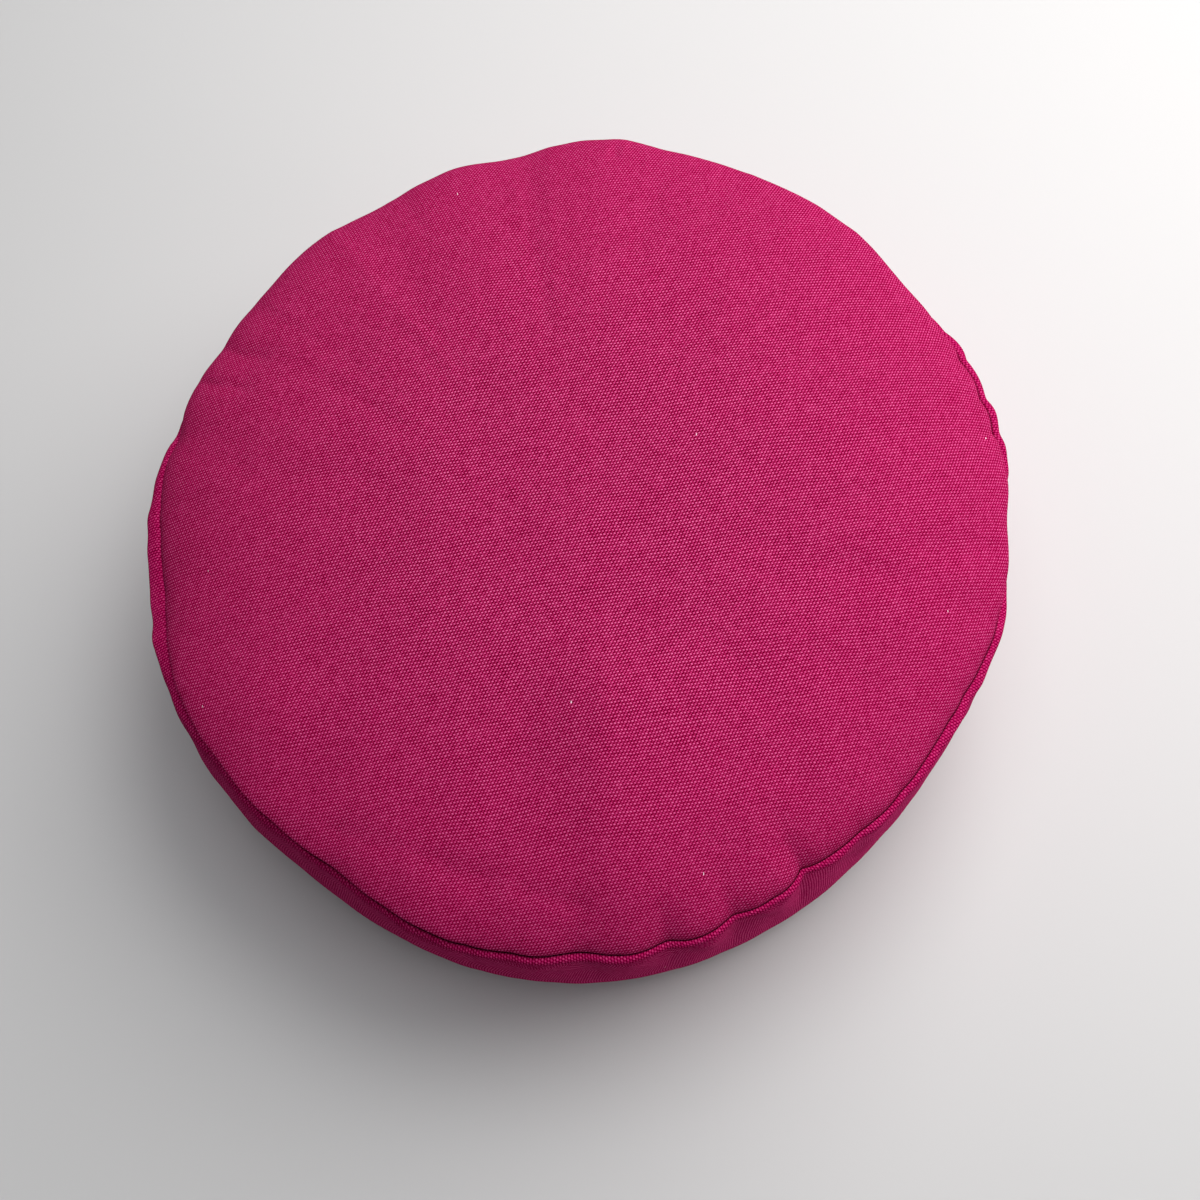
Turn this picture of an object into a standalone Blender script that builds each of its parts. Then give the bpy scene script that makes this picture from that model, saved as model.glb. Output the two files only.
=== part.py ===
"""Zafu: a round meditation cushion of plain canvas, filled firm and lying on its base.

Three cut pieces make it. The side band goes round the wall and is rolled over its seam allowance at both
edges; it is built as the filled solid of the cushion. The top panel is crowned over the filling and the
bottom panel is flat where the cushion rests; each is a sheet seated on that solid, with its edge turned
into the seam. Metres, +Z up, origin at the centre of the base. Azimuths are degrees from +X towards +Y.
"""

import math
from collections import namedtuple

import bmesh
import bpy

MM = 0.001

# Driving sizes
UPPER_SEAM_HEIGHT = 107 * MM
LOWER_SEAM_HEIGHT = 15 * MM
LOWER_SEAM_RADIUS = 163.5 * MM
CLOTH = 2 * MM  # thickness of a panel
GAP = 0.3 * MM  # between two pieces
SEGMENTS = 108  # sections round the cushion

# The panel's edge: it swells out over its shoulder, curls under and dips into the seam.
SHOULDER_RISE = 3 * MM  # shoulder above the seam where the panel only just meets it
SHOULDER_RISE_PER_OVERHANG = 0.6
LEAST_OVERHANG = 0.5 * MM
CREASE_DEPTH = 1 * MM
CREASE_WIDTH = 0.6 * MM  # between the panel and the band's rolled edge, at the crease
TUCKED_EDGE = 4 * MM  # how far the panel's edge runs down inside the seam
UNDERSIDE_ANGLES = (38, 68, 90)  # degrees round from the shoulder to the crease
RIM_STIFFNESS = 6  # the power of the share of radius by which swells fade towards the seam
PUCKER_DROP = 0.6  # how far a pucker sinks the panel, for each unit that it draws the seam in

# The band's rolled edge and wall
FULL_TUCK_OVERHANG = 4 * MM  # overhang that presses the rolled edge right under the panel
FULL_TUCK_ANGLE = 65  # degrees that the rolled edge is then turned by
ROLL_STEPS = 4
WALL_SHARES = (0.05, 0.16, 0.36, 0.6, 0.82, 0.95)
WAIST_DEPTH = 1.5 * MM  # hollow between a rolled edge and the wall's belly
WAIST_SHARE = 0.07  # how far that hollow reaches, as a share of the wall's height
SAG = 1.25  # over 1 puts the widest part of the wall under its middle

LOWER_ROLL = 5 * MM

# One face of the cushion. sign is +1 upwards or -1 downwards; rise is from the panel's shoulder to its
# middle; the panel is flat out to the share flat of its radius, and from there follows
# rise * (1 - share ** power) ** roundness. The shares are its rows of points.
Face = namedtuple("Face", "sign seam_height rise flat power roundness shares")
TOP = Face(
    sign=1,
    seam_height=UPPER_SEAM_HEIGHT,
    rise=24.5 * MM,
    flat=0.0,
    power=2.3,
    roundness=0.6,
    shares=(0.0, 0.35, 0.6, 0.78, 0.9, 0.96, 0.988, 0.998, 1.0),
)
BOTTOM = Face(
    sign=-1,
    seam_height=LOWER_SEAM_HEIGHT,
    rise=LOWER_SEAM_HEIGHT - SHOULDER_RISE,
    flat=0.8,
    power=2.0,
    roundness=0.6,
    shares=(0.0, 0.8, 0.92, 0.985, 1.0),
)

# The upper edge round the cushion, in millimetres: seam is the seam's radius, overhang is how far the top
# panel bulges out past it, roll is the width of the band's rolled edge, and belly is how far the wall
# bulges out past that edge.
Station = namedtuple("Station", "azimuth seam overhang roll belly")
STATIONS = (
    Station(azimuth=0, seam=169.0, overhang=4.2, roll=4.5, belly=6.0),
    Station(azimuth=6, seam=172.4, overhang=2.6, roll=4.0, belly=5.5),
    Station(azimuth=12, seam=174.4, overhang=0.5, roll=3.6, belly=5.0),
    Station(azimuth=24, seam=174.2, overhang=0.5, roll=3.6, belly=5.0),
    Station(azimuth=32, seam=171.4, overhang=2.0, roll=4.0, belly=6.0),
    Station(azimuth=38, seam=168.5, overhang=4.2, roll=4.5, belly=8.0),
    Station(azimuth=47, seam=167.5, overhang=7.2, roll=5.0, belly=10.5),
    Station(azimuth=68, seam=166.2, overhang=7.7, roll=5.0, belly=12.0),
    Station(azimuth=77, seam=165.8, overhang=8.4, roll=5.0, belly=12.0),
    Station(azimuth=84, seam=166.2, overhang=10.2, roll=5.0, belly=12.5),
    Station(azimuth=92, seam=165.4, overhang=7.8, roll=5.0, belly=12.5),
    Station(azimuth=99, seam=163.2, overhang=6.6, roll=5.0, belly=12.0),
    Station(azimuth=108, seam=164.2, overhang=7.2, roll=5.0, belly=12.0),
    Station(azimuth=119, seam=162.2, overhang=5.6, roll=5.0, belly=12.0),
    Station(azimuth=130, seam=163.5, overhang=6.2, roll=5.0, belly=11.5),
    Station(azimuth=140, seam=162.8, overhang=5.0, roll=5.0, belly=10.5),
    Station(azimuth=151, seam=164.6, overhang=3.8, roll=4.5, belly=9.0),
    Station(azimuth=160, seam=167.2, overhang=2.4, roll=4.0, belly=7.0),
    Station(azimuth=166, seam=168.6, overhang=0.5, roll=3.6, belly=5.0),
    Station(azimuth=173, seam=167.8, overhang=0.5, roll=5.0, belly=5.0),
    Station(azimuth=184, seam=164.4, overhang=0.5, roll=7.2, belly=6.5),
    Station(azimuth=193, seam=164.2, overhang=0.5, roll=7.0, belly=6.5),
    Station(azimuth=203, seam=165.8, overhang=0.5, roll=5.2, belly=5.5),
    Station(azimuth=212, seam=163.8, overhang=0.5, roll=5.2, belly=6.0),
    Station(azimuth=231, seam=160.9, overhang=0.5, roll=4.6, belly=2.6),
    Station(azimuth=240, seam=161.3, overhang=0.5, roll=4.8, belly=2.6),
    Station(azimuth=253, seam=166.0, overhang=0.5, roll=5.0, belly=2.6),
    Station(azimuth=266, seam=166.4, overhang=0.5, roll=5.2, belly=3.0),
    Station(azimuth=271, seam=165.6, overhang=0.5, roll=5.4, belly=3.8),
    Station(azimuth=277, seam=166.6, overhang=0.5, roll=5.0, belly=2.8),
    Station(azimuth=289, seam=165.3, overhang=0.5, roll=4.6, belly=2.4),
    Station(azimuth=297, seam=163.6, overhang=0.5, roll=4.4, belly=1.2),
    Station(azimuth=306, seam=162.4, overhang=0.5, roll=3.9, belly=1.0),
    Station(azimuth=316, seam=163.6, overhang=0.5, roll=3.2, belly=0.8),
    Station(azimuth=330, seam=164.6, overhang=0.5, roll=3.8, belly=2.0),
    Station(azimuth=345, seam=169.8, overhang=0.5, roll=3.2, belly=4.4),
    Station(azimuth=352, seam=169.8, overhang=2.6, roll=4.0, belly=5.0),
)

# Places where the upper seam pinches the cloth: half_width is along the seam in degrees; in millimetres,
# depth is how far the cloth is pulled in, and reach how far the dent runs over the panel and down the wall.
Pucker = namedtuple("Pucker", "azimuth half_width depth reach")
PUCKERS = (
    Pucker(azimuth=359, half_width=4.0, depth=1.2, reach=24.0),
    Pucker(azimuth=85, half_width=2.6, depth=0.9, reach=12.0),
    Pucker(azimuth=110, half_width=3.0, depth=0.6, reach=14.0),
    Pucker(azimuth=151, half_width=3.4, depth=1.0, reach=22.0),
    Pucker(azimuth=165, half_width=3.4, depth=1.8, reach=26.0),
    Pucker(azimuth=187, half_width=4.0, depth=0.9, reach=24.0),
    Pucker(azimuth=236, half_width=4.0, depth=0.9, reach=20.0),
    Pucker(azimuth=271, half_width=3.0, depth=0.8, reach=18.0),
    Pucker(azimuth=302, half_width=3.0, depth=2.6, reach=24.0),
)

# Soft unevenness of the filling under the top panel: centre, half-lengths along X and Y, and height, in
# millimetres. The first two are the long soft ridge that runs to the front and the hollow beside it.
Swell = namedtuple("Swell", "x y half_x half_y height")
SWELLS = (
    Swell(x=34, y=-112, half_x=30, half_y=52, height=1.6),
    Swell(x=-14, y=-108, half_x=22, half_y=48, height=-1.4),
    Swell(x=-82, y=-42, half_x=34, half_y=30, height=-1.0),
    Swell(x=-122, y=-74, half_x=24, half_y=24, height=0.9),
    Swell(x=96, y=52, half_x=44, half_y=40, height=0.9),
    Swell(x=-40, y=96, half_x=50, half_y=30, height=0.8),
    Swell(x=88, y=-20, half_x=40, half_y=20, height=-0.7),
)

CANVAS = (0.42, 0.020, 0.105, 1.0)
CANVAS_SHADE = (0.36, 0.017, 0.092, 1.0)


def clear_scene():
    for obj in list(bpy.data.objects):
        bpy.data.objects.remove(obj, do_unlink=True)


def canvas_material(name, colour, roughness):
    material = bpy.data.materials.new(name)
    material.use_nodes = True
    shader = material.node_tree.nodes["Principled BSDF"]
    shader.inputs["Base Color"].default_value = colour
    shader.inputs["Roughness"].default_value = roughness
    shader.inputs["Metallic"].default_value = 0.0
    return material


def turn_between(azimuth, other):
    """The shorter way round from other to azimuth, in degrees."""
    return (azimuth - other + 180) % 360 - 180


def station_at(azimuth):
    """The upper edge at any azimuth: a smooth closed curve through the stations, in metres."""
    count = len(STATIONS)
    here = max(i for i in range(count) if STATIONS[i].azimuth <= azimuth)
    rows = [STATIONS[(here + step) % count] for step in (-1, 0, 1, 2)]
    turns = [turn_between(row.azimuth, azimuth) for row in rows]
    span = turns[2] - turns[1]
    t = -turns[1] / span
    values = []
    for column in Station._fields[1:]:
        before, start, end, after = (getattr(row, column) for row in rows)
        leaving = (end - before) / (turns[2] - turns[0]) * span
        arriving = (after - start) / (turns[3] - turns[1]) * span
        smooth = (
            start * (2 * t**3 - 3 * t**2 + 1)
            + leaving * (t**3 - 2 * t**2 + t)
            + end * (3 * t**2 - 2 * t**3)
            + arriving * (t**3 - t**2)
        )
        values.append(smooth * MM)
    return Station(azimuth, *values)


def pucker_at(azimuth, distance):
    """How far the cloth is drawn in, at this distance from the upper seam, in metres."""
    return sum(
        pucker.depth
        * MM
        * math.exp(-((turn_between(azimuth, pucker.azimuth) / pucker.half_width) ** 2))
        * math.exp(-((distance / MM / pucker.reach) ** 2))
        for pucker in PUCKERS
    )


def swell_at(x, y):
    """How far the filling stands above the plain crown, in metres."""
    return sum(
        swell.height
        * MM
        * math.exp(-(((x / MM - swell.x) / swell.half_x) ** 2))
        * math.exp(-(((y / MM - swell.y) / swell.half_y) ** 2))
        for swell in SWELLS
    )


def seam_at(azimuth, face):
    """(seam radius, overhang) of one face."""
    if face is BOTTOM:
        return LOWER_SEAM_RADIUS, LEAST_OVERHANG
    station = station_at(azimuth)
    return station.seam - pucker_at(azimuth, 0), max(station.overhang, LEAST_OVERHANG)


def panel_rows(azimuth, face, inset):
    """(radius, height) of the panel's profile, drawn smaller by inset: from its middle out over the shoulder,
    back under it to the crease, and down to the edge inside the seam."""
    seam, overhang = seam_at(azimuth, face)
    shoulder = SHOULDER_RISE + SHOULDER_RISE_PER_OVERHANG * (overhang - LEAST_OVERHANG)
    crease = inset - CREASE_DEPTH
    edge = seam + overhang - inset
    top = SHOULDER_RISE + face.rise - inset
    direction = math.radians(azimuth)
    rows = []
    for share in face.shares:
        radius = share * edge
        past_flat = max(0.0, share - face.flat) / (1 - face.flat)
        out = shoulder + (top - shoulder) * (1 - past_flat**face.power) ** face.roundness
        if face is TOP:
            swell = swell_at(radius * math.cos(direction), radius * math.sin(direction))
            out += swell * (1 - share**RIM_STIFFNESS) - PUCKER_DROP * pucker_at(azimuth, edge - radius)
        rows.append((radius, out))
    shoulder = rows[-1][1]
    for angle in UNDERSIDE_ANGLES:
        turned = math.radians(angle)
        out = shoulder - (shoulder - crease) * math.sin(turned)
        rows.append((edge - overhang * (1 - math.cos(turned)), out))
    rows.append((rows[-1][0], -CREASE_DEPTH - TUCKED_EDGE))
    return [(radius, face.seam_height + face.sign * out) for radius, out in rows]


def panel_section(azimuth, face):
    """The panel's outer side and then its inner side, as one line from axis to axis."""
    return panel_rows(azimuth, face, 0) + panel_rows(azimuth, face, CLOTH)[::-1]


def rolled_edge(azimuth, face, width):
    """The band's edge over its seam allowance, from inside the crease out to the wall."""
    seam, overhang = seam_at(azimuth, face)
    tuck_share = min(1.0, (overhang - LEAST_OVERHANG) / FULL_TUCK_OVERHANG)
    tuck = math.radians(FULL_TUCK_ANGLE * math.sqrt(tuck_share))
    radius = width / 2
    mouth = (seam + CREASE_WIDTH, -CREASE_DEPTH - CREASE_WIDTH * math.sin(tuck))
    centre = (mouth[0] + radius * math.cos(tuck), mouth[1] - radius * math.sin(tuck))
    rows = [(seam + GAP, -CREASE_DEPTH - TUCKED_EDGE - GAP)]
    for step in range(ROLL_STEPS + 1):
        angle = (math.pi - tuck) * (1 - step / ROLL_STEPS)
        rows.append((centre[0] + radius * math.cos(angle), centre[1] + radius * math.sin(angle)))
    return [(radius, face.seam_height + face.sign * out) for radius, out in rows]


def core_rows(azimuth, face):
    """The filled solid under a panel, from its middle into the seam, on every other row of the crown."""
    rows = panel_rows(azimuth, face, CLOTH + GAP)
    crown = len(face.shares) - 1
    radius, height = rows[-1]
    return rows[:crown:2] + rows[crown:] + [(radius, height - face.sign * GAP)]


def band_section(azimuth):
    """The filled solid, as one line from the axis above to the axis below."""
    station = station_at(azimuth)
    upper = rolled_edge(azimuth, TOP, station.roll)
    lower = rolled_edge(azimuth, BOTTOM, LOWER_ROLL)
    top_radius, top_height = upper[-1]
    low_radius, low_height = lower[-1]
    wall = []
    for share in WALL_SHARES:
        height = top_height + (low_height - top_height) * share
        radius = top_radius + (low_radius - top_radius) * (3 - 2 * share) * share**2
        radius += station.belly * math.sin(math.pi * share**SAG)
        radius -= WAIST_DEPTH * math.exp(-((min(share, 1 - share) / WAIST_SHARE) ** 2))
        radius -= pucker_at(azimuth, top_height - height)
        wall.append((radius, height))
    return core_rows(azimuth, TOP) + upper + wall + lower[::-1] + core_rows(azimuth, BOTTOM)[::-1]


def loft(name, section_at, material, collection):
    """A solid through one section for each azimuth. A section starts and ends on the axis."""
    sections = [section_at(360 * i / SEGMENTS) for i in range(SEGMENTS)]
    mesh = bmesh.new()
    start = mesh.verts.new((0, 0, sections[0][0][1]))
    end = mesh.verts.new((0, 0, sections[0][-1][1]))
    columns = []
    for i, section in enumerate(sections):
        angle = 2 * math.pi * i / SEGMENTS
        columns.append(
            [
                mesh.verts.new((radius * math.cos(angle), radius * math.sin(angle), height))
                for radius, height in section[1:-1]
            ]
        )
    for here, after in zip(columns, columns[1:] + columns[:1]):
        mesh.faces.new((start, here[0], after[0]))
        for row in range(len(here) - 1):
            mesh.faces.new((here[row], here[row + 1], after[row + 1], after[row]))
        mesh.faces.new((here[-1], end, after[-1]))
    bmesh.ops.recalc_face_normals(mesh, faces=mesh.faces)
    data = bpy.data.meshes.new(name)
    mesh.to_mesh(data)
    mesh.free()
    data.shade_smooth()
    data.set_sharp_from_angle(angle=math.radians(50))
    data.materials.append(material)
    collection.objects.link(bpy.data.objects.new(name, data))


def side_band(collection):
    loft("side_band", band_section, canvas_material("band_canvas", CANVAS, 0.9), collection)


def top_panel(collection):
    material = canvas_material("top_canvas", CANVAS, 0.88)
    loft("top_panel", lambda azimuth: panel_section(azimuth, TOP), material, collection)


def bottom_panel(collection):
    material = canvas_material("bottom_canvas", CANVAS_SHADE, 0.9)
    loft("bottom_panel", lambda azimuth: panel_section(azimuth, BOTTOM), material, collection)


def main():
    clear_scene()
    collection = bpy.data.collections.new("zafu_cushion")
    bpy.context.scene.collection.children.link(collection)
    side_band(collection)
    top_panel(collection)
    bottom_panel(collection)


main()
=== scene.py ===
"""The zafu's looks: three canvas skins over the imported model, and the floor, light and camera round them.

Each CAD node is replaced by a finer skin of the same shape, with the gathers of its seams, the folds and
slack of its cloth and a woven canvas material. Shapes are worked out in millimetres and become metres when a
mesh is made. Azimuths are degrees from +X towards +Y. +Z is up and the origin is the centre of the base.
"""

import math
from collections import namedtuple

import bpy
import numpy as np
from mathutils import Matrix, Vector


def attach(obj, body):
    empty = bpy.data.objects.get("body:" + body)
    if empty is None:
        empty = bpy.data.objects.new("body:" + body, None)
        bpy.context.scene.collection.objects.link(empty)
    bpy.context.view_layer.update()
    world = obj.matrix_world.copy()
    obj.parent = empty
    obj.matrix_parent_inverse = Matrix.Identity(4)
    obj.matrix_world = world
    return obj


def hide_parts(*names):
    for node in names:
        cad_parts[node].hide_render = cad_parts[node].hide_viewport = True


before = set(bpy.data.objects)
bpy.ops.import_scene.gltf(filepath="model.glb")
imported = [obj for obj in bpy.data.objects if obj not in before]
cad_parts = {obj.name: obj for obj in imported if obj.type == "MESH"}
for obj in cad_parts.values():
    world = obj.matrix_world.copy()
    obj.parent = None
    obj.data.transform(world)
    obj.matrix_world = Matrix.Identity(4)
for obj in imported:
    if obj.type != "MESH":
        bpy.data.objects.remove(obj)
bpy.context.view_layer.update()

MM = 0.001

# Sizes shared with the CAD model
UPPER_SEAM_HEIGHT = 107.0
LOWER_SEAM_HEIGHT = 15.0
LOWER_SEAM_RADIUS = 163.5
CLOTH = 2.0  # thickness of a panel
GAP = 0.3  # between two pieces
SHOULDER_RISE = 3.0  # a face's rise is counted from this far above its seam
LEAST_OVERHANG = 0.5
CREASE_DEPTH = 1.0
CREASE_WIDTH = 0.6  # between the panel and the band's rolled edge, at the crease
TUCKED_EDGE = 4.0  # how far the panel's edge runs down inside the seam
RIM_STIFFNESS = 6  # the power of the share of radius by which swells fade towards the seam
FULL_TUCK_OVERHANG = 4.0  # overhang that presses the rolled edge right under the panel
FULL_TUCK_ANGLE = 65  # degrees that the rolled edge is then turned by
SAG = 1.25  # over 1 puts the widest part of the wall under its middle
LOWER_ROLL = 5.0  # width of the band's lower rolled edge

# The finer form of the skins
SHOULDER_RISE_PER_OVERHANG = 0.68
RIM_GRIP = 14  # the higher, the closer to the rim a panel follows the small waver of its seam
PUCKER_DROP = 0.28  # how far the panel sinks for each millimetre that its seam is drawn in
LIP_HEIGHT = 2.7  # how far the band's rolled edge stands above the bottom of the crease
LIP_INSIDE = 0.9  # how far its crest lies out from the crease
LIP_SQUARENESS = 0.7  # 1 is round, less is squarer beside the panel
LIP_BLEND = 3  # how soon it is fully squared beside the panel, or sloped beside the wall
LIP_UNEVENNESS = 0.10  # of its width
SEAM_WAVER = 0.16
WAIST_DEPTH = 0.25  # how far the seam draws the wall in below its rolled edge
WAIST_SHARE = 0.06  # share of the wall that this reaches over
WALL_SHOULDER = 0.08  # share of the wall over which it swells out below its rolled edge

# The canvas: a plain weave of two sets of yarns, in millimetres from one yarn to the next
WARP_PITCH = 1.07
WEFT_PITCH = 0.76
BAND_YARNS = 1000  # warp yarns round the band, each running down the wall
TWIST = 0.40  # how far the twist of a yarn slants its floats
WEFT_CRIMP = 0.4  # how far the weft dips under each warp yarn

# grain is the warp's direction on the flat cloth in degrees, warp_crimp how far the warp dips under each
# weft yarn, weft_crown how high the weft comes, and rounding how far a yarn falls off to its sides. The
# band's warp is drawn tight over its edge and hides the weft. crowding is painted shade, how much
# darker the cloth is made over the band's rolled edge and crease, and wear how far the weave has lost its
# contrast at a panel's rim.
Weave = namedtuple("Weave", "grain warp_crimp weft_crown rounding crowding wear")
PANEL_WEAVE = Weave(grain=63, warp_crimp=0.4, weft_crown=0.7, rounding=2.5, crowding=0, wear=0.3)
BAND_WEAVE = Weave(grain=90, warp_crimp=0.15, weft_crown=0.5, rounding=1.9, crowding=0.11, wear=0)
PAINTED_LIP_SHADE_REACH = (10.0, 18.0)  # how far along the band's cloth, from inside its upper seam, its painted shade fades
WEAR_REACH = (60.0, 170.0)  # from the middle of a panel, where wear starts and where it is full

# How far the yarns wander from straight lines, in waves of this length
Wander = namedtuple("Wander", "length reach")
YARN_WANDERS = (Wander(length=45.0, reach=1.2), Wander(length=5.0, reach=0.16))

# The yarn's colour, from the gaps between yarns to their crowns
Tone = namedtuple("Tone", "at panel band")
# The band's column is the panel's made darker and more saturated: painted shade for the band's wall and
# rolled edge.
YARN_TONES = (
    Tone(at=0.15, panel=(0.030, 0.0, 0.002), band=(0.030, 0.0, 0.002)),
    Tone(at=0.42, panel=(0.220, 0.0, 0.026), band=(0.200, 0.0, 0.026)),
    Tone(at=0.62, panel=(0.388, 0.010, 0.097), band=(0.362, 0.002, 0.080)),
    Tone(at=0.80, panel=(0.520, 0.052, 0.188), band=(0.488, 0.026, 0.140)),
    Tone(at=1.00, panel=(0.660, 0.138, 0.298), band=(0.620, 0.075, 0.225)),
)
MIDDLE_TONE = 0.62

# How much the tone differs from float to float, along slubs of the yarn, with its fibres and in soft
# patches. A slub's length is in yarns, and the others' are in millimetres.
FLOAT_CONTRAST = 0.14
SLUB_CONTRAST, SLUB_LENGTH, SLUB_STRETCH = 0.05, 0.8, 0.06
FIBRE_CONTRAST, FIBRE_LENGTH, FIBRE_DETAIL = 0.08, 0.35, 3.0
PATCH_CONTRAST, PATCH_LENGTH, PATCH_DETAIL = 0.02, 9.0, 2.0

# Lint: at most one bit to a cell of this spacing, on a share of the cells, bent and stretched
LINT_SPACING = 24.0
LINT_WIDTH = 0.19
LINT_SHARE = 0.12
LINT_BEND = 0.5
LINT_BEND_LENGTH = 1.5
LINT_STRETCH = 0.4
LINT_COLOUR = (0.80, 0.55, 0.66, 1.0)

BUMP_STRENGTH = 0.5
BUMP_DEPTH = 0.25
BUMP_FIBRE = 0.12  # how much of it the fibres add
CANVAS_FINISH = (
    ("Roughness", 0.5),
    ("Specular IOR Level", 0.0),
    ("Sheen Weight", 0.02),
    ("Sheen Roughness", 0.4),
    ("Sheen Tint", (1.0, 0.26, 0.48, 1.0)),
)

# Light and view. A light's place is from the middle of the cushion, in degrees and metres, and spread is the
# angle into which it shines: the low one is held to the cushion, so that it doesn't flare on the floor.
Light = namedtuple("Light", "name azimuth elevation distance size spread watts colour")
LIGHTS = (
    Light("key", 40, 45, distance=1.0, size=1.2, spread=180, watts=14.2, colour=(1.0, 0.97, 0.95)),
    Light("fill", 345, 7, distance=1.2, size=0.4, spread=60, watts=0.26, colour=(1.0, 0.98, 0.97)),
    Light("overhead", 40, 80, distance=1.6, size=1.5, spread=180, watts=16.8, colour=(0.98, 0.99, 1.0)),
)
WORLD_STRENGTH = 0.09
WORLD_COLOUR = (0.88, 0.93, 1.0, 1)
FLOOR_FINISH = (("Base Color", (0.58, 0.58, 0.58, 1)), ("Roughness", 0.9), ("Specular IOR Level", 0.1))
FLOOR_HALF = 4.0  # metres
FLOOR_HEIGHT = -0.0003  # metres
CAMERA_PLACE = (39.0, -204.9, 669.6)
CAMERA_TARGET = (11.7, -29.6, 107.0)
CAMERA_ROLL = -9.6
CAMERA_LENS = 44.88
CAMERA_SENSOR = 36

# Fineness of the skins
COLUMNS = 1080  # round the cushion
AZIMUTHS = np.arange(COLUMNS) * 360 / COLUMNS
CROWN_ROWS = 70  # from the middle of a face to its shoulder
CORE_ROWS = 8  # the same on surfaces that a panel covers
UNDERSIDE_ROWS = 7  # from the shoulder back to the crease
ROLL_ROWS = 12  # over a rolled edge
WALL_ROWS = 34
LEAST_RING = 2.0  # radius taken for a row on the axis, so that it still has a way round

# The two faces. rise is from SHOULDER_RISE to the middle; a face is flat out to the share flat of its
# radius, and from there falls as 1 - share ** power to the power of roundness. cut is the diameter of the
# disc that its panel is cut to: twice the way from its middle to its tucked edge.
Face = namedtuple("Face", "sign seam_height rise flat power roundness cut")
TOP = Face(1, UPPER_SEAM_HEIGHT, rise=24.5, flat=0.0, power=2.3, roundness=0.6, cut=366.0)
BOTTOM = Face(-1, LOWER_SEAM_HEIGHT, rise=12.0, flat=0.8, power=2.0, roundness=0.6, cut=352.0)

# The upper edge, as in the CAD model: seam is the seam's radius, overhang is how far the top panel bulges
# out past it, roll is the width of the band's rolled edge and belly how far the wall bulges past that.
Station = namedtuple("Station", "azimuth seam overhang roll belly")
STATIONS = (
    Station(azimuth=0, seam=169.0, overhang=4.2, roll=4.5, belly=6.0),
    Station(azimuth=6, seam=172.4, overhang=2.6, roll=4.0, belly=5.5),
    Station(azimuth=12, seam=174.4, overhang=0.5, roll=3.6, belly=5.0),
    Station(azimuth=24, seam=174.2, overhang=0.5, roll=3.6, belly=5.0),
    Station(azimuth=32, seam=171.4, overhang=2.0, roll=4.0, belly=6.0),
    Station(azimuth=38, seam=168.5, overhang=4.2, roll=4.5, belly=8.0),
    Station(azimuth=47, seam=167.5, overhang=7.2, roll=5.0, belly=10.5),
    Station(azimuth=68, seam=166.2, overhang=7.7, roll=5.0, belly=12.0),
    Station(azimuth=77, seam=165.8, overhang=8.4, roll=5.0, belly=12.0),
    Station(azimuth=84, seam=166.2, overhang=10.2, roll=5.0, belly=12.5),
    Station(azimuth=92, seam=165.4, overhang=7.8, roll=5.0, belly=12.5),
    Station(azimuth=99, seam=163.2, overhang=6.6, roll=5.0, belly=12.0),
    Station(azimuth=108, seam=164.2, overhang=7.2, roll=5.0, belly=12.0),
    Station(azimuth=119, seam=162.2, overhang=5.6, roll=5.0, belly=12.0),
    Station(azimuth=130, seam=163.5, overhang=6.2, roll=5.0, belly=11.5),
    Station(azimuth=140, seam=162.8, overhang=5.0, roll=5.0, belly=10.5),
    Station(azimuth=151, seam=164.6, overhang=3.8, roll=4.5, belly=9.0),
    Station(azimuth=160, seam=167.2, overhang=2.4, roll=4.0, belly=7.0),
    Station(azimuth=166, seam=168.6, overhang=0.5, roll=3.6, belly=5.0),
    Station(azimuth=173, seam=167.8, overhang=0.5, roll=5.0, belly=5.0),
    Station(azimuth=184, seam=164.4, overhang=0.5, roll=7.2, belly=6.5),
    Station(azimuth=193, seam=164.2, overhang=0.5, roll=7.0, belly=6.5),
    Station(azimuth=203, seam=165.8, overhang=0.5, roll=5.2, belly=5.5),
    Station(azimuth=212, seam=163.8, overhang=0.5, roll=5.2, belly=6.0),
    Station(azimuth=231, seam=160.9, overhang=0.5, roll=4.6, belly=2.6),
    Station(azimuth=240, seam=161.3, overhang=0.5, roll=4.8, belly=2.6),
    Station(azimuth=253, seam=166.0, overhang=0.5, roll=5.0, belly=2.6),
    Station(azimuth=266, seam=166.4, overhang=0.5, roll=5.2, belly=3.0),
    Station(azimuth=271, seam=165.6, overhang=0.5, roll=5.4, belly=3.8),
    Station(azimuth=277, seam=166.6, overhang=0.5, roll=5.0, belly=2.8),
    Station(azimuth=289, seam=165.3, overhang=0.5, roll=4.6, belly=2.4),
    Station(azimuth=297, seam=163.6, overhang=0.5, roll=4.4, belly=1.2),
    Station(azimuth=306, seam=162.4, overhang=0.5, roll=3.9, belly=1.0),
    Station(azimuth=316, seam=163.6, overhang=0.5, roll=3.2, belly=0.8),
    Station(azimuth=330, seam=164.6, overhang=0.5, roll=3.8, belly=2.0),
    Station(azimuth=345, seam=169.8, overhang=0.5, roll=3.2, belly=4.4),
    Station(azimuth=352, seam=169.8, overhang=2.6, roll=4.0, belly=5.0),
)

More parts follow.
